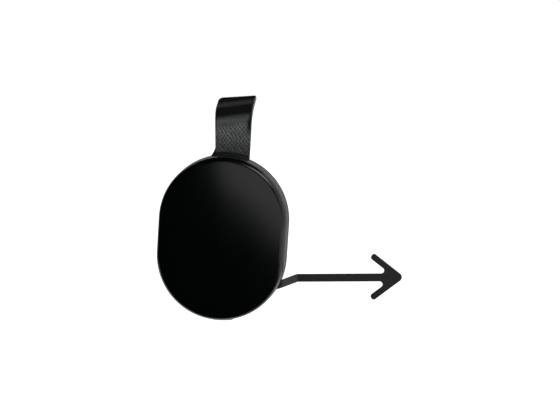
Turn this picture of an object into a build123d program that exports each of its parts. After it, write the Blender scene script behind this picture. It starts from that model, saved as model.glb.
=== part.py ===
from build123d import *
from math import cos, radians, sin, sqrt, tan
import os

# Cover for the tow hook opening of a car bumper, moulded in one piece. Millimetres.
# X runs to the right as the fitted cover is looked at, Y into the car and Z up.
# The origin is the middle of the oval, in the plane of the skirt's rear rim.

# Oval face and the skirt behind it
cover_width = 58.0
cover_height = 74.0
skirt_depth = 12.0
skirt_draft = 2.5
skirt_wall = 2.2
face_crown = 3.5
face_thickness = 2.4
face_edge_round = 2.8
rim_edge_chamfer = 0.35

# Ribs that stiffen the face from inside
rib_thickness = 1.4
rib_height = 4.0
rib_spacing = 26.0

# Snap bead under the skirt, opposite the tongue
bead_arc = 26.0
bead_height = 0.9
bead_catch = 4.6
bead_crest = 0.8
bead_ramp = 2.6

# Spring tongue that slides up behind the bumper skin, bent back about a slanted line
tongue_offset = 1.9
tongue_lean = 2.1
tongue_root_width = 15.3
tongue_bend_width = 16.3
tongue_tip_width = 17.2
tongue_thickness = 2.0
tongue_set_in = 1.1
tongue_straight = 14.2
tongue_bend_radius = 8.6
tongue_bend_angle = 54.0
tongue_bend_slant = 11.0
tongue_tip_run = 6.1
tongue_tip_skew = -1.0
tongue_corner_cut = 1.7
tongue_edge_chamfer = 0.3
tongue_root_round = 0.6
gusset_height = 4.6
gusset_foot = 2.3

# Tether strap, which leaves the rim at the lower right and leans back into its run
tether_angle = -23.7
tether_width = 3.5
tether_thickness = 1.6
tether_set_in = 0.6
tether_stub = 1.0
tether_lead = 7.4
tether_lead_rise = 2.85
tether_lean = 35.0
tether_bend_radius = 1.6
tether_turn_radius = 3.0
tether_run = 46.9
tether_rise_angle = 4.9
tether_edge_chamfer = 0.25

# Barbed head at the strap's end
barb_angle = 37.8
barb_tilt = -1.3
barb_length = 17.6
barb_width = 2.8
barb_tip_round = 2.0
barb_end_round = 1.2
barb_notch_round = 1.4

# Values that follow from the sizes above
end_radius = cover_width / 2
end_offset = (cover_height - cover_width) / 2
crown_front = -(skirt_depth + face_crown)
crown_radius_x = (end_radius**2 + face_crown**2) / (2 * face_crown)
crown_radius_z = ((cover_height / 2) ** 2 + face_crown**2) / (2 * face_crown)
crown_axis_y = crown_front + crown_radius_z
block_half_width = end_radius + skirt_wall
block_half_arc = 16.0
rib_rear = crown_front + face_thickness + rib_height


def crowned_plug(side_inset, front_inset):
    """Solid oval with the double crown in front, drawn in at the side and the front."""
    tilt = radians(block_half_arc)
    start_plane = Plane(
        origin=(0, crown_axis_y, 0), x_dir=(1, 0, 0), z_dir=(0, sin(tilt), -cos(tilt))
    )
    arc_radius = crown_radius_x - front_inset
    arc_middle = crown_radius_z - crown_radius_x
    shoulder = arc_middle + sqrt(arc_radius**2 - block_half_width**2)
    inner = crown_radius_z - skirt_depth - 2 * face_crown
    with BuildPart() as plug:
        with BuildSketch(Plane.XZ):
            SlotOverall(
                cover_height - 2 * side_inset, cover_width - 2 * side_inset, rotation=90
            )
        extrude(amount=skirt_depth + 2 * face_crown, taper=skirt_draft)
        with BuildSketch(start_plane):
            with BuildLine():
                Polyline(
                    (block_half_width, shoulder),
                    (block_half_width, inner),
                    (-block_half_width, inner),
                    (-block_half_width, shoulder),
                )
                ThreePointArc(
                    (-block_half_width, shoulder),
                    (0, crown_radius_z - front_inset),
                    (block_half_width, shoulder),
                )
            make_face()
        revolve(
            axis=Axis((0, crown_axis_y, 0), (-1, 0, 0)),
            revolution_arc=2 * block_half_arc,
            mode=Mode.INTERSECT,
        )
    return plug


def corner(sketch, point):
    """The sketch's vertex nearest to a point."""
    return sketch.vertices().sort_by_distance(Vector(*point))[0]


def rim_top(x):
    """Height of the rim's outer edge at the upper end, at a distance from the middle."""
    return end_offset + sqrt(end_radius**2 - x**2)


def wall_radius(y):
    """Radius of the skirt's rounded ends at a place along Y."""
    return end_radius + y * tan(radians(skirt_draft))


# Inside of the shell, with the ribs left standing in it
hollow = crowned_plug(skirt_wall, face_thickness)
with BuildPart() as inside:
    add(hollow.part)
    with BuildSketch(Plane.XZ.offset(-rib_rear)):
        Rectangle(rib_thickness, cover_height)
        with GridLocations(0, rib_spacing, 1, 2):
            Rectangle(cover_width, rib_thickness)
    extrude(amount=rib_height + face_crown, mode=Mode.SUBTRACT)

# Middle of the wall, where the tongue's foot ends
wall_middle = crowned_plug(skirt_wall / 2, face_thickness / 2)

# Spring tongue, lofted through sections that turn about the slanted bend line
slant = radians(tongue_bend_slant)
lean = radians(tongue_lean)
tongue_across = Vector(cos(lean), 0, sin(lean))
tongue_along = Vector(-sin(lean), 0, cos(lean))
bend_line = Vector(cos(lean + slant), 0, sin(lean + slant))
bend_rise = Vector(-sin(lean + slant), 0, cos(lean + slant))
into_car = Vector(0, 1, 0)
tongue_middle = -(tongue_set_in + tongue_thickness / 2)
tongue_root = Vector(tongue_offset, tongue_middle, cover_height / 2)
bend_start = tongue_root + tongue_along * tongue_straight


def bend_plane(turn_degrees, run=0.0):
    """Section plane of the tongue after a turn about the bend line and a straight run."""
    turn = radians(turn_degrees)
    swung = bend_rise * cos(turn) + into_car * sin(turn)
    across = bend_line * cos(slant) - swung * sin(slant)
    along = bend_line * sin(slant) + swung * cos(slant)
    origin = bend_start + bend_line * (tongue_bend_radius * turn * tan(slant))
    origin += bend_rise * (tongue_bend_radius * sin(turn))
    origin += into_car * (tongue_bend_radius * (1 - cos(turn)))
    origin += along * run
    return Plane(origin=origin, x_dir=across, z_dir=along)


def tongue_section(width):
    """Section of the tongue with its corners taken off."""
    with BuildSketch(Plane.XY) as section:
        Rectangle(width, tongue_thickness)
        chamfer(section.vertices(), tongue_edge_chamfer)
    return section.sketch


# The foot lies below the rim's lowest place at the tongue, with the sides running on straight
foot_extra = cover_height / 2 - rim_top(tongue_offset + tongue_root_width / 2)
foot_depth = skirt_wall + foot_extra
tongue_taper = (tongue_bend_width - tongue_root_width) / (tongue_straight + skirt_wall)
foot_plane = Plane(
    origin=tongue_root - tongue_along * foot_depth, x_dir=tongue_across, z_dir=tongue_along
)
tip_plane = bend_plane(tongue_bend_angle, tongue_tip_run).rotated((0, tongue_tip_skew, 0))
left_corner = Plane(
    origin=tip_plane.origin - tip_plane.x_dir * (tongue_tip_width / 2),
    x_dir=tip_plane.x_dir,
    z_dir=-tip_plane.y_dir,
)
with BuildPart() as tongue:
    with BuildSketch(foot_plane):
        add(tongue_section(tongue_root_width - tongue_taper * foot_extra))
    with BuildSketch(bend_plane(0)):
        add(tongue_section(tongue_bend_width))
    loft()
    for share in (0, 1 / 6, 1 / 3, 1 / 2, 2 / 3, 5 / 6, 1):
        with BuildSketch(bend_plane(tongue_bend_angle * share)):
            add(tongue_section(tongue_bend_width + (tongue_tip_width - tongue_bend_width) * share))
    loft()
    for plane in (bend_plane(tongue_bend_angle), tip_plane):
        with BuildSketch(plane):
            add(tongue_section(tongue_tip_width))
    loft()
    with BuildSketch(left_corner):
        with Locations(Rotation(0, 0, 45)):
            Rectangle(tongue_corner_cut * sqrt(2), tongue_corner_cut * sqrt(2))
    extrude(amount=tongue_thickness, both=True, mode=Mode.SUBTRACT)
    chamfer(tongue.faces().filter_by(tip_plane).sort_by(Axis.Y)[-1].edges(), tongue_edge_chamfer)
    add(wall_middle.part, mode=Mode.SUBTRACT)

# Tether, the plan of its strap kept inside its front outline
root_x = end_radius * cos(radians(tether_angle))
root_z = -end_offset + end_radius * sin(radians(tether_angle))
bend_x = root_x + tether_lead
bend_z = root_z + tether_lead_rise
lead_y = -(tether_set_in + tether_thickness / 2)
run_y = lead_y + (tether_lead - tether_stub) * tan(radians(tether_lean))
half_strap = tether_width / 2
half_point = radians(barb_angle)
apex = tether_run + barb_tip_round / sin(half_point) - barb_tip_round
barb_back = barb_length * cos(half_point)
barb_out = barb_length * sin(half_point)
inner_back = barb_back + barb_width * sin(half_point)
inner_out = barb_out - barb_width * cos(half_point)
crotch = inner_back - inner_out / tan(half_point)
notch = crotch + half_strap / tan(half_point)


def on_strap(along, across):
    """Point of the front outline, measured from the bend along and across the run."""
    turn = radians(tether_rise_angle)
    return (
        bend_x + along * cos(turn) - across * sin(turn),
        bend_z + along * sin(turn) + across * cos(turn),
    )


def on_head(back, out):
    """Point of the front outline, measured back from the head's sharp point and outwards."""
    turn = radians(tether_rise_angle + barb_tilt)
    point_x, point_z = on_strap(apex, 0)
    return (
        point_x - back * cos(turn) - out * sin(turn),
        point_z - back * sin(turn) + out * cos(turn),
    )


with BuildPart() as tether:
    with BuildSketch(Plane.XZ) as outline:
        with BuildLine():
            FilletPolyline(
                (root_x - tether_lead, root_z - tether_lead_rise),
                (bend_x, bend_z),
                on_strap(apex - crotch + tether_thickness / 2, 0),
                radius=tether_turn_radius,
            )
        trace(line_width=tether_width)
        with BuildLine():
            Polyline(
                on_head(crotch, 0),
                on_head(inner_back, inner_out),
                on_head(barb_back, barb_out),
                on_head(0, 0),
                on_head(barb_back, -barb_out),
                on_head(inner_back, -inner_out),
                close=True,
            )
        make_face()
        fillet(corner(outline, on_head(0, 0)), barb_tip_round)
        for side in (1, -1):
            fillet(corner(outline, on_head(notch, side * half_strap)), barb_notch_round)
            barb_end = [
                corner(outline, on_head(inner_back, side * inner_out)),
                corner(outline, on_head(barb_back, side * barb_out)),
            ]
            fillet(barb_end, barb_end_round)
    extrude(amount=cover_height, both=True)
    with BuildSketch(Plane.XY):
        with BuildLine():
            FilletPolyline(
                (root_x - 2 * tether_lead, lead_y),
                (root_x + tether_stub, lead_y),
                (bend_x, run_y),
                (bend_x + apex + tether_width, run_y),
                radius=tether_bend_radius,
            )
        trace(line_width=tether_thickness)
    extrude(amount=cover_height, both=True, mode=Mode.INTERSECT)
    free_edges = tether.edges().filter_by_position(Axis.X, root_x - tether_width / 2, bend_x + apex)
    chamfer(free_edges, tether_edge_chamfer)
    add(inside.part, mode=Mode.SUBTRACT)

# The cover: crowned shell, then everything that stands on it
gusset_x = tongue_offset - tongue_root_width / 2
gusset_top = (gusset_x, rim_top(gusset_x) + gusset_height)
gusset_toe = (gusset_x - gusset_foot, rim_top(gusset_x - gusset_foot) - tongue_edge_chamfer)
gusset_base = gusset_toe[1] - skirt_wall / 2
bead_turn = radians(-90 - bead_arc / 2)
bead_plane = Plane(
    origin=(0, 0, -end_offset),
    x_dir=(cos(bead_turn), 0, sin(bead_turn)),
    z_dir=(-sin(bead_turn), 0, cos(bead_turn)),
)
bead_end = bead_crest + bead_ramp - bead_catch
bead_buried = wall_radius(-bead_catch) - skirt_wall / 2
bead_outer = wall_radius(-bead_catch) + bead_height
solid_face = crowned_plug(0, 0)
with BuildPart() as cover:
    add(solid_face.part)
    fillet(cover.faces().sort_by(Axis.Y)[0].edges(), face_edge_round)
    add(inside.part, mode=Mode.SUBTRACT)
    chamfer(cover.faces().sort_by(Axis.Y)[-1].edges(), rim_edge_chamfer)

    # Tongue, rounded all the way round its root
    add(tongue.part)
    root_low = rim_top(tongue_offset + tongue_root_width / 2) - skirt_wall / 2
    root_edges = (
        cover.edges()
        .filter_by_position(Axis.Z, root_low, cover_height / 2)
        .filter_by_position(Axis.Y, -tongue_set_in - tongue_thickness, -tongue_set_in)
    )
    fillet(root_edges, tongue_root_round)

    # Gusset at the tongue's left root
    with BuildSketch(Plane.XZ.offset(-tongue_middle)):
        with BuildLine():
            SagittaArc(gusset_top, gusset_toe, gusset_height / 12)
            Polyline(
                gusset_toe,
                (gusset_toe[0], gusset_base),
                (gusset_x + gusset_foot, gusset_base),
                (gusset_x + gusset_foot, gusset_top[1]),
                gusset_top,
            )
        make_face()
    extrude(amount=tongue_thickness / 2 - tongue_edge_chamfer, both=True)

    add(tether.part)

    # Snap bead, its catch facing forwards and its ramp to the rear
    with BuildSketch(bead_plane):
        with BuildLine():
            Polyline(
                (bead_buried, -bead_catch),
                (bead_outer, -bead_catch),
                (bead_outer, bead_crest - bead_catch),
                (wall_radius(bead_end), bead_end),
                (bead_buried, bead_end),
                close=True,
            )
        make_face()
    revolve(axis=Axis((0, 0, -end_offset), (0, -1, 0)), revolution_arc=bead_arc)

os.makedirs("parts", exist_ok=True)
cover.part.label = "tow_hook_cover"
export_step(cover.part, "parts/tow_hook_cover.step")
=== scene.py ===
import math

import bpy
from mathutils import Matrix, Vector


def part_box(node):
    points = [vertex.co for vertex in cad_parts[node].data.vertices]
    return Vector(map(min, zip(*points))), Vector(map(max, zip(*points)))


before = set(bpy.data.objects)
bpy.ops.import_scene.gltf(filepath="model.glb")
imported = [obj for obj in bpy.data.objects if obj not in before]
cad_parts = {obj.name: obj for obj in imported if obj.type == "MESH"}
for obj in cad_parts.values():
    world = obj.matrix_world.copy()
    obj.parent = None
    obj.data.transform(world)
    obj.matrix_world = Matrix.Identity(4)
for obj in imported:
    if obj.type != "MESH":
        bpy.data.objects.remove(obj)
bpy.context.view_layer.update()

bl_info = {
    "name": "Tow hook cover",
    "version": (1, 0, 0),
    "blender": (4, 5, 0),
    "location": "View3D > Sidebar > Tow cover",
    "description": "Dresses the tow hook cover's moulding and sets up its studio",
    "category": "Object",
}

NODE = "tow_hook_cover"
# The oval, in metres, as the solid has it
END_RADIUS = 0.029
END_OFFSET = 0.008
# Middle of the tongue's bend line, and the slant of that line
BEND_X = 0.002
BEND_Z = 0.0512
BEND_SLANT = math.radians(11.0)
# Right edge of the tongue, and how it runs outwards above the bend
TONGUE_RIGHT = 0.0095
TONGUE_FLARE = 0.165

# Ranges over which one finish passes into the next, in metres. Distances past the bend line
# are negative below it.
# From the cap to what stands outside its rim, and from the strap to the tongue by height
RIM_BLEND = (END_RADIUS - 0.0001, END_RADIUS + 0.0005)
TONGUE_BLEND = (0.02, 0.03)
# The smooth front, by the part of its normal along Y and by depth
FRONT_FACING = (-0.1, -0.35)
FRONT_DEPTH = (-0.0088, -0.0098)
# The strap's lead, along x, which is painted lighter: painted light where it turns towards the lamp
LEAD_BLEND = (0.035, 0.0325)
# The grain: by distance from the oval's middle line, right of the gusset, and past the bend;
# its late start leaves painted shade at the tongue's root, next to the rim
GRAIN_START_AFTER_ROOT_SHADE = (END_RADIUS + 0.0008, END_RADIUS + 0.0018)
GRAIN_LEFT = (-0.0064, -0.0059)
GRAIN_END = (0.0044, 0.0012)
HATCH_END = (0.0002, -0.0022)
# Painted shade along the tongue's right edge: by distance past the bend line, and inwards from the edge
SHADED_EDGE_START = (-0.008, -0.002)
SHADED_EDGE_WIDTH = (0.0011, 0.0026)
# The matt stripe below the tip, painted lighter as a painted highlight, by distance past the bend line
HIGHLIGHT_STRIPE_START = (0.0068, 0.0082)
HIGHLIGHT_STRIPE_END = (0.01, 0.0088)

# Slant of the grain's two sets of lines, as steps along x and z
GRAIN_X = 0.78
GRAIN_Z = 0.62
# How far the lines wander, in radians of their wave, and the rising set's depth against the other
GRAIN_WANDER = 9.0
RISING_SHARE = 0.55
# Noise scales: unevenness of the grain, spark texture of the mould, slow variation
UNEVEN_SCALE = 420.0
SPARK_SCALE = 3200.0
SLOW_SCALE = 60.0
# Depth of the spark texture, in metres
BODY_SPARK = 0.00002
FACE_SPARK = 0.000004
# Tone factors: a low and a high value of noise, lines or height, and the factor at each
TONE_SPREAD = (0.3, 0.7, 0.85, 1.15)
HATCH_TONE = (-0.4, 1.0, 0.38, 1.3)
# Painted light: the grain is painted lighter with height up to the bend, where it tilts towards the lamp,
# and darker near the cap
GRAIN_PAINTED_LIGHT = (0.037, 0.051, 0.93, 2.15)
# What the slow variation adds to the roughness, in the same order
ROUGH_SPREAD = (0.25, 0.75, -0.02, 0.02)
# How many times lighter the strap's lead and the matt stripe are painted than the strap: painted light on
# the lead, a painted highlight on the stripe
PAINTED_LIGHT_LIFT = 1.55
# How strongly the plastic mirrors, 0.5 being usual
SPECULAR_LEVEL = 0.45

# The dark curtain round the front, in degrees, and its distance in metres
CURTAIN_TURNS = (-115.0, 50.0)
CURTAIN_TILTS = (-24.0, 84.0)
CURTAIN_STEPS = (66, 36)
CURTAIN_DISTANCE = 0.9
# Its window: a point of the slanted lower edge, the edge's fall to the right, height and sides
WINDOW_POINT = (-7.2, 10.6)
WINDOW_FALL = math.radians(28.0)
WINDOW_HEIGHT = 18.0
WINDOW_SIDES = (-10.0, 45.0)
# The dark sheet above the floor, the dark ceiling and the pale screen behind, in metres
SHEET_X = (-1.0, 0.6)
SHEET_Y = (-1.0, 0.0)
SHEET_RISE = 0.02
CEILING_X = (-0.7, 0.6)
CEILING_Y = (-0.25, 0.8)
CEILING_Z = 0.85
SCREEN_X = (-2.0, 2.0)
SCREEN_Y = 0.9
SCREEN_TOP = 1.5
# Tones of the screens
DARK = 0.002
PALE = 0.95
# The key lamp: where it stands in degrees and metres, its turn about its own axis, its size
KEY_AZIMUTH = 38
KEY_ELEVATION = 42
KEY_DISTANCE = 0.75
KEY_ROLL = 28
KEY_SIZE = (0.3, 0.3)
# The floor: half its width in metres, its paint, and the lift that keeps it white
FLOOR_HALF = 6.0
FLOOR_PAINT = 0.9
FLOOR_LIFT = 0.6
WHITE = (1.0, 1.0, 1.0, 1.0)
# The camera: width of its sensor in millimetres, and how near it sees in metres
SENSOR_WIDTH = 36.0
CLIP_START = 0.01


class MouldingSettings(bpy.types.PropertyGroup):
    """Colours and grain of the moulded plastic"""

    face_colour: bpy.props.FloatVectorProperty(
        name="Face colour", description="Colour of the smooth front",
        subtype="COLOR", size=3, min=0.0, max=1.0, default=(0.0003, 0.0013, 0.0011))
    grain_colour: bpy.props.FloatVectorProperty(
        name="Grain colour", description="Colour where the mould is grained",
        subtype="COLOR", size=3, min=0.0, max=1.0, default=(0.0375, 0.0425, 0.041))
    body_colour: bpy.props.FloatVectorProperty(
        name="Body colour", description="Colour of the skirt, the tongue's smooth end and the inside",
        subtype="COLOR", size=3, min=0.0, max=1.0, default=(0.0046, 0.005, 0.0052))
    strap_colour: bpy.props.FloatVectorProperty(
        name="Strap colour", description="Colour of the tether strap and its head",
        subtype="COLOR", size=3, min=0.0, max=1.0, default=(0.0132, 0.0135, 0.0136))
    face_roughness: bpy.props.FloatProperty(
        name="Face roughness", description="Roughness of the smooth front and the tongue's smooth end",
        subtype="FACTOR", min=0.0, max=1.0, default=0.23)
    body_roughness: bpy.props.FloatProperty(
        name="Body roughness", description="Roughness of the skirt, the strap and the inside",
        subtype="FACTOR", min=0.0, max=1.0, default=0.5)
    grain_roughness: bpy.props.FloatProperty(
        name="Grain roughness", description="Roughness of the grained tongue",
        subtype="FACTOR", min=0.0, max=1.0, default=0.62)
    grain_pitch: bpy.props.FloatProperty(
        name="Grain pitch", description="Distance between the lines of the tongue's grain",
        subtype="DISTANCE", unit="LENGTH", min=0.0002, max=0.005, default=0.00128)
    grain_depth: bpy.props.FloatProperty(
        name="Grain depth", description="Depth of the tongue's grain",
        subtype="DISTANCE", unit="LENGTH", min=0.0, max=0.001, default=0.00024)


class StageSettings(bpy.types.PropertyGroup):
    """Camera, floor and light"""

    azimuth: bpy.props.FloatProperty(
        name="Azimuth", description="Turn of the camera to the right of the cover's front",
        subtype="ANGLE", default=math.radians(6.71))
    elevation: bpy.props.FloatProperty(
        name="Elevation", description="Height of the camera above the horizon",
        subtype="ANGLE", default=math.radians(7.66))
    roll: bpy.props.FloatProperty(
        name="Roll", description="Turn of the camera about its own axis",
        subtype="ANGLE", default=math.radians(3.49))
    distance: bpy.props.FloatProperty(
        name="Distance", description="From the camera to the middle of the oval",
        subtype="DISTANCE", unit="LENGTH", min=0.1, default=0.7)
    lens: bpy.props.FloatProperty(
        name="Lens", description="Focal length in millimetres", min=10.0, default=99.99)
    shift: bpy.props.FloatVectorProperty(
        name="Shift", description="Shift of the frame, as in the photograph",
        size=2, default=(0.09993, 0.0466))
    floor_drop: bpy.props.FloatProperty(
        name="Floor drop", description="From the cover's lowest point down to the floor",
        subtype="DISTANCE", unit="LENGTH", min=0.0, default=0.25)
    key_power: bpy.props.FloatProperty(
        name="Key light", description="Power of the soft lamp at the upper right, in watts",
        min=0.0, default=1.2)
    room_light: bpy.props.FloatProperty(
        name="Room light", description="Strength of the light from all round",
        min=0.0, default=0.8)


class Nodes:
    """Short ways to add and join shader nodes in one tree"""

    def __init__(self, tree):
        self.tree = tree

    def add(self, kind, **inputs):
        node = self.tree.nodes.new(kind)
        for name, value in inputs.items():
            self.put(node.inputs[name], value)
        return node

    def put(self, socket, value):
        if isinstance(value, bpy.types.NodeSocket):
            self.tree.links.new(value, socket)
        else:
            socket.default_value = value

    def math(self, operation, first, second=None, clamp=False):
        node = self.tree.nodes.new("ShaderNodeMath")
        node.operation = operation
        node.use_clamp = clamp
        self.put(node.inputs[0], first)
        if second is not None:
            self.put(node.inputs[1], second)
        return node.outputs[0]

    def times(self, first, *others):
        product = first
        for other in others:
            product = self.math("MULTIPLY", product, other)
        return product

    def ramp(self, value, low, high, start=0.0, end=1.0):
        """A smooth step from one value to another, between a low and a high place"""
        node = self.tree.nodes.new("ShaderNodeMapRange")
        node.interpolation_type = "SMOOTHSTEP"
        self.put(node.inputs["Value"], value)
        node.inputs["From Min"].default_value = low
        node.inputs["From Max"].default_value = high
        node.inputs["To Min"].default_value = start
        node.inputs["To Max"].default_value = end
        return node.outputs["Result"]

    def mix(self, factor, first, second):
        node = self.tree.nodes.new("ShaderNodeMix")
        node.data_type = "FLOAT"
        self.put(node.inputs["Factor"], factor)
        self.put(node.inputs["A"], first)
        self.put(node.inputs["B"], second)
        return node.outputs["Result"]

    def mix_colour(self, factor, first, second):
        node = self.tree.nodes.new("ShaderNodeMix")
        node.data_type = "RGBA"
        sockets = [s for s in node.inputs if s.type == "RGBA"]
        self.put(node.inputs[0], factor)
        self.put(sockets[0], first)
        self.put(sockets[1], second)
        return [s for s in node.outputs if s.type == "RGBA"][0]

    def tint(self, colour, factor):
        """A fixed colour made lighter or darker by a factor"""
        node = self.tree.nodes.new("ShaderNodeVectorMath")
        node.operation = "SCALE"
        node.inputs[0].default_value = colour[:]
        self.put(node.inputs["Scale"], factor)
        return node.outputs["Vector"]


def rgba(colour):
    return (colour[0], colour[1], colour[2], 1.0)


def moulding_material(settings):
    """Black moulded plastic: smooth front, cross-hatched tongue, finely grained elsewhere"""
    material = bpy.data.materials.new("black_plastic")
    material.use_nodes = True
    tree = material.node_tree
    tree.nodes.clear()
    n = Nodes(tree)
    out = n.add("ShaderNodeOutputMaterial")
    shader = n.add("ShaderNodeBsdfPrincipled")
    tree.links.new(shader.outputs["BSDF"], out.inputs["Surface"])
    coords = n.add("ShaderNodeTexCoord")
    place = n.add("ShaderNodeSeparateXYZ", Vector=coords.outputs["Object"])
    facing = n.add("ShaderNodeSeparateXYZ", Vector=coords.outputs["Normal"])
    x, y, z = place.outputs

    # Distance from the oval's middle line, which tells the tongue and the strap from the cap
    beyond = n.math("MAXIMUM", n.math("SUBTRACT", n.math("ABSOLUTE", z), END_OFFSET), 0.0)
    reach = n.math("SQRT", n.math("ADD", n.times(x, x), n.times(beyond, beyond)))
    outside = n.ramp(reach, *RIM_BLEND)
    tongue = n.times(outside, n.ramp(z, *TONGUE_BLEND))
    strap = n.math("SUBTRACT", outside, tongue)
    lead = n.times(strap, n.ramp(x, *LEAD_BLEND))
    front = n.times(n.ramp(facing.outputs["Y"], *FRONT_FACING), n.ramp(y, *FRONT_DEPTH))

    # The grain starts a little above the rim, which leaves painted shade at the tongue's root, and fades
    # out past the slanted bend line.
    # Above it the tongue is smooth, with a matt stripe below its tip painted lighter as a painted
    # highlight, and painted shade along its right edge
    past = n.math("SUBTRACT",
                  n.times(n.math("SUBTRACT", z, BEND_Z), math.cos(BEND_SLANT)),
                  n.times(n.math("SUBTRACT", x, BEND_X), math.sin(BEND_SLANT)))
    flare = n.times(n.math("MAXIMUM", n.math("SUBTRACT", z, BEND_Z), 0.0), TONGUE_FLARE)
    inward = n.math("SUBTRACT", n.math("ADD", flare, TONGUE_RIGHT), x)
    # Painted shade: near the right edge above the bend, the grain and the stripe give way to the dark body
    # colour
    clear_of_edge_shade = n.mix(n.ramp(past, *SHADED_EDGE_START), 1.0, n.ramp(inward, *SHADED_EDGE_WIDTH))
    grained = n.times(tongue, clear_of_edge_shade, n.ramp(past, *GRAIN_END),
                      n.ramp(reach, *GRAIN_START_AFTER_ROOT_SHADE), n.ramp(x, *GRAIN_LEFT))
    matt_highlight_stripe = n.times(tongue, clear_of_edge_shade, n.ramp(past, *HIGHLIGHT_STRIPE_START), n.ramp(past, *HIGHLIGHT_STRIPE_END))

    # Cross-hatch of two sets of slanted lines that wander a little, the falling ones deeper
    turn = 2.0 * math.pi / settings.grain_pitch
    uneven = n.add("ShaderNodeTexNoise", Vector=coords.outputs["Object"], Scale=UNEVEN_SCALE, Detail=2.0)
    wander = n.times(n.math("SUBTRACT", uneven.outputs["Fac"], 0.5), GRAIN_WANDER)
    along = n.math("ADD", n.times(x, GRAIN_X * turn), wander)
    up = n.times(z, GRAIN_Z * turn)
    falling = n.math("SINE", n.math("ADD", along, up))
    rising = n.math("SINE", n.math("SUBTRACT", along, up))
    lines = n.math("MAXIMUM", falling, n.times(rising, RISING_SHARE))
    hatch = n.times(lines, n.ramp(past, *HATCH_END))

    # Fine spark texture of the mould, and slow variation across the part
    spark = n.add("ShaderNodeTexNoise", Vector=coords.outputs["Object"],
                  Scale=SPARK_SCALE, Detail=3.0, Roughness=0.6)
    slow = n.add("ShaderNodeTexNoise", Vector=coords.outputs["Object"], Scale=SLOW_SCALE, Detail=2.0)

    body = n.tint(settings.body_colour, n.ramp(slow.outputs["Fac"], *TONE_SPREAD))
    colour = n.mix_colour(front, body, rgba(settings.face_colour))
    # Painted light: the strap's lead and the stripe below the tongue's tip are painted lighter than the
    # strap
    painted_light_factor = n.mix(n.math("MAXIMUM", lead, matt_highlight_stripe), 1.0, PAINTED_LIGHT_LIFT)
    strap_tone = n.tint(settings.strap_colour, painted_light_factor)
    colour = n.mix_colour(n.math("ADD", strap, matt_highlight_stripe), colour, strap_tone)
    # The grain's tone: its lines, painted light rising with height, and random unevenness
    grain_tone_and_painted_light = n.times(n.ramp(hatch, *HATCH_TONE), n.ramp(z, *GRAIN_PAINTED_LIGHT),
                           n.ramp(uneven.outputs["Fac"], *TONE_SPREAD))
    colour = n.mix_colour(grained, colour, n.tint(settings.grain_colour, grain_tone_and_painted_light))
    n.put(shader.inputs["Base Color"], colour)
    n.put(shader.inputs["Specular IOR Level"], SPECULAR_LEVEL)

    matt = n.math("ADD", grained, matt_highlight_stripe)
    smooth = n.math("ADD", front, n.math("SUBTRACT", tongue, matt), clamp=True)
    rough = n.mix(smooth, settings.body_roughness, settings.face_roughness)
    rough = n.mix(grained, rough, settings.grain_roughness)
    rough = n.math("ADD", rough, n.ramp(slow.outputs["Fac"], *ROUGH_SPREAD))
    n.put(shader.inputs["Roughness"], rough)

    spark_depth = n.mix(front, BODY_SPARK, FACE_SPARK)
    height = n.math("ADD", n.times(spark.outputs["Fac"], spark_depth),
                    n.times(hatch, grained, settings.grain_depth / 2))
    bump = n.add("ShaderNodeBump", Height=height, Strength=1.0, Distance=1.0)
    n.put(shader.inputs["Normal"], bump.outputs["Normal"])
    return material


class TOWCOVER_OT_moulding(bpy.types.Operator):
    """Give the cover its moulded black plastic"""

    bl_idname = "towcover.moulding"
    bl_label = "Dress the moulding"

    def execute(self, context):
        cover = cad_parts[NODE]
        material = moulding_material(context.scene.towcover_moulding)
        cover.data.materials.clear()
        cover.data.materials.append(material)
        return {"FINISHED"}


def flag(name, corners, faces, tone):
    """Screen that only reflections see, as a black object is lit in a studio"""
    mesh = bpy.data.meshes.new(name)
    mesh.from_pydata(corners, [], faces)
    obj = bpy.data.objects.new(name, mesh)
    bpy.context.scene.collection.objects.link(obj)
    material = bpy.data.materials.new(name)
    material.use_nodes = True
    shader = material.node_tree.nodes["Principled BSDF"]
    shader.inputs["Base Color"].default_value = (tone, tone, tone, 1.0)
    shader.inputs["Roughness"].default_value = 1.0
    shader.inputs["Specular IOR Level"].default_value = 0.0
    mesh.materials.append(material)
    obj.visible_camera = False
    obj.visible_diffuse = False
    obj.visible_shadow = False
    obj.visible_transmission = False


def level_corners(x_range, y_range, z):
    """Corners of a level rectangle, in order round it"""
    return [(x_range[0], y_range[0], z), (x_range[1], y_range[0], z),
            (x_range[1], y_range[1], z), (x_range[0], y_range[1], z)]


def from_angles(azimuth, elevation, distance):
    """Point seen from the origin at an azimuth and an elevation, in degrees"""
    a = math.radians(azimuth)
    e = math.radians(elevation)
    return Vector((math.sin(a) * math.cos(e), -math.cos(a) * math.cos(e), math.sin(e))) * distance


def curtain_open(turn, tilt):
    """Whether the curtain has its window in this direction"""
    above = (math.sin(WINDOW_FALL) * (turn - WINDOW_POINT[0])
             + math.cos(WINDOW_FALL) * (tilt - WINDOW_POINT[1]))
    return 0.0 < above < WINDOW_HEIGHT and WINDOW_SIDES[0] < turn < WINDOW_SIDES[1]


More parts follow.
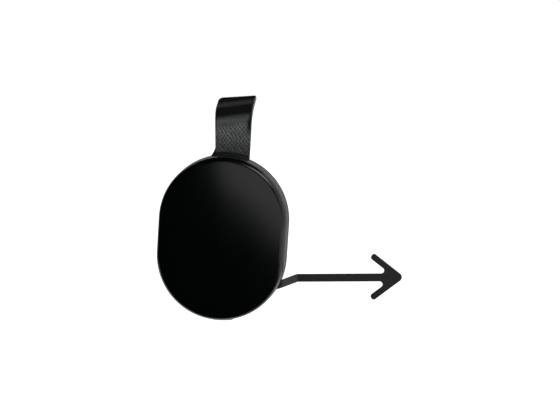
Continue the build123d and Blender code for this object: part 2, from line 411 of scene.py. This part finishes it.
def curtain():
    """Dark curtain round the front, with a window that the smooth front mirrors"""
    wide, high = CURTAIN_STEPS
    turn_step = (CURTAIN_TURNS[1] - CURTAIN_TURNS[0]) / wide
    tilt_step = (CURTAIN_TILTS[1] - CURTAIN_TILTS[0]) / high
    corners = []
    for a in range(wide + 1):
        for b in range(high + 1):
            turn = CURTAIN_TURNS[0] + a * turn_step
            tilt = CURTAIN_TILTS[0] + b * tilt_step
            corners.append(from_angles(turn, tilt, CURTAIN_DISTANCE))
    faces = []
    for a in range(wide):
        for b in range(high):
            turn = CURTAIN_TURNS[0] + (a + 0.5) * turn_step
            tilt = CURTAIN_TILTS[0] + (b + 0.5) * tilt_step
            if curtain_open(turn, tilt):
                continue
            first = a * (high + 1) + b
            second = first + high + 1
            faces.append((first, first + 1, second + 1, second))
    flag("curtain", corners, faces, DARK)


def key_lamp(power):
    """Soft lamp at the upper right that looks at the origin, turned about its own axis"""
    data = bpy.data.lights.new("key", "AREA")
    data.shape = "RECTANGLE"
    data.size, data.size_y = KEY_SIZE
    data.energy = power
    lamp = bpy.data.objects.new("key", data)
    lamp.location = from_angles(KEY_AZIMUTH, KEY_ELEVATION, KEY_DISTANCE)
    aim = (-lamp.location).to_track_quat("-Z", "Y").to_matrix()
    lamp.rotation_euler = (aim @ Matrix.Rotation(math.radians(KEY_ROLL), 3, "Z")).to_euler()
    bpy.context.scene.collection.objects.link(lamp)


def seen_directly(n):
    """One where the camera, a reflection or a clear piece looks, nought where light is gathered"""
    paths = n.add("ShaderNodeLightPath")
    mirrored = n.math("ADD", paths.outputs["Is Glossy Ray"], paths.outputs["Is Transmission Ray"])
    return n.math("ADD", paths.outputs["Is Camera Ray"], mirrored, clamp=True)


def white_world(scene, room_light):
    """White where the camera and reflections look, softer where it lights the part"""
    world = bpy.data.worlds.new("studio")
    scene.world = world
    world.use_nodes = True
    tree = world.node_tree
    tree.nodes.clear()
    n = Nodes(tree)
    out = n.add("ShaderNodeOutputWorld")
    strength = n.mix(seen_directly(n), room_light, 1.0)
    background = n.add("ShaderNodeBackground", Color=WHITE, Strength=strength)
    tree.links.new(background.outputs["Background"], out.inputs["Surface"])


def floor_material():
    """White floor that still takes the cover's shadow"""
    material = bpy.data.materials.new("studio_floor")
    material.use_nodes = True
    tree = material.node_tree
    tree.nodes.clear()
    n = Nodes(tree)
    out = n.add("ShaderNodeOutputMaterial")
    paint = n.add("ShaderNodeBsdfDiffuse", Color=(FLOOR_PAINT, FLOOR_PAINT, FLOOR_PAINT, 1.0))
    lift = n.add("ShaderNodeEmission", Color=WHITE, Strength=n.times(seen_directly(n), FLOOR_LIFT))
    both = n.add("ShaderNodeAddShader")
    tree.links.new(paint.outputs["BSDF"], both.inputs[0])
    tree.links.new(lift.outputs["Emission"], both.inputs[1])
    tree.links.new(both.outputs["Shader"], out.inputs["Surface"])
    return material


def studio_floor(scene, level):
    """White floor below the cover"""
    mesh = bpy.data.meshes.new("studio_floor")
    span = (-FLOOR_HALF, FLOOR_HALF)
    mesh.from_pydata(level_corners(span, span, level), [], [(0, 1, 2, 3)])
    floor = bpy.data.objects.new("studio_floor", mesh)
    scene.collection.objects.link(floor)
    mesh.materials.append(floor_material())


def photo_camera(scene, settings):
    """Camera that sees the cover as the photograph does"""
    camera = bpy.data.objects.new("camera", bpy.data.cameras.new("camera"))
    scene.collection.objects.link(camera)
    camera.data.sensor_width = SENSOR_WIDTH
    camera.data.lens = settings.lens
    camera.data.shift_x, camera.data.shift_y = settings.shift
    camera.data.clip_start = CLIP_START
    azimuth = math.degrees(settings.azimuth)
    elevation = math.degrees(settings.elevation)
    place = from_angles(azimuth, elevation, settings.distance)
    back = place.normalized()
    right = Vector((0, 0, 1)).cross(back).normalized()
    up = back.cross(right)
    turned_right = right * math.cos(settings.roll) + up * math.sin(settings.roll)
    turned_up = up * math.cos(settings.roll) - right * math.sin(settings.roll)
    axes = Matrix((turned_right, turned_up, back)).transposed().to_4x4()
    camera.matrix_world = Matrix.Translation(place) @ axes
    scene.camera = camera


class TOWCOVER_OT_stage(bpy.types.Operator):
    """Set up the floor, the light and the camera"""

    bl_idname = "towcover.stage"
    bl_label = "Set the stage"

    def execute(self, context):
        scene = context.scene
        settings = scene.towcover_stage
        scene.view_settings.view_transform = "Standard"
        white_world(scene, settings.room_light)
        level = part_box(NODE)[0].z - settings.floor_drop
        studio_floor(scene, level)

        # What the smooth front, the tongue and the skirt mirror
        curtain()
        one_face = [(0, 1, 2, 3)]
        flag("dark_sheet", level_corners(SHEET_X, SHEET_Y, level + SHEET_RISE), one_face, DARK)
        flag("dark_ceiling", level_corners(CEILING_X, CEILING_Y, CEILING_Z), one_face, DARK)
        left, right = SCREEN_X
        flag("pale_screen", [(left, SCREEN_Y, level), (right, SCREEN_Y, level),
                             (right, SCREEN_Y, SCREEN_TOP), (left, SCREEN_Y, SCREEN_TOP)], one_face, PALE)
        key_lamp(settings.key_power)
        photo_camera(scene, settings)
        return {"FINISHED"}


class TOWCOVER_PT_panel(bpy.types.Panel):
    """Settings and steps of the tow hook cover"""

    bl_idname = "TOWCOVER_PT_panel"
    bl_label = "Tow hook cover"
    bl_space_type = "VIEW_3D"
    bl_region_type = "UI"
    bl_category = "Tow cover"

    def draw(self, context):
        scene = context.scene
        steps = ((scene.towcover_moulding, TOWCOVER_OT_moulding), (scene.towcover_stage, TOWCOVER_OT_stage))
        for settings, operator in steps:
            box = self.layout.box()
            for name in settings.__annotations__:
                box.prop(settings, name)
            box.operator(operator.bl_idname)


CLASSES = (MouldingSettings, StageSettings, TOWCOVER_OT_moulding, TOWCOVER_OT_stage, TOWCOVER_PT_panel)


def register():
    for cls in CLASSES:
        bpy.utils.register_class(cls)
    bpy.types.Scene.towcover_moulding = bpy.props.PointerProperty(type=MouldingSettings)
    bpy.types.Scene.towcover_stage = bpy.props.PointerProperty(type=StageSettings)


def unregister():
    del bpy.types.Scene.towcover_stage
    del bpy.types.Scene.towcover_moulding
    for cls in reversed(CLASSES):
        bpy.utils.unregister_class(cls)


def main():
    register()
    bpy.ops.towcover.moulding()
    bpy.ops.towcover.stage()


if __name__ == "__main__":
    main()
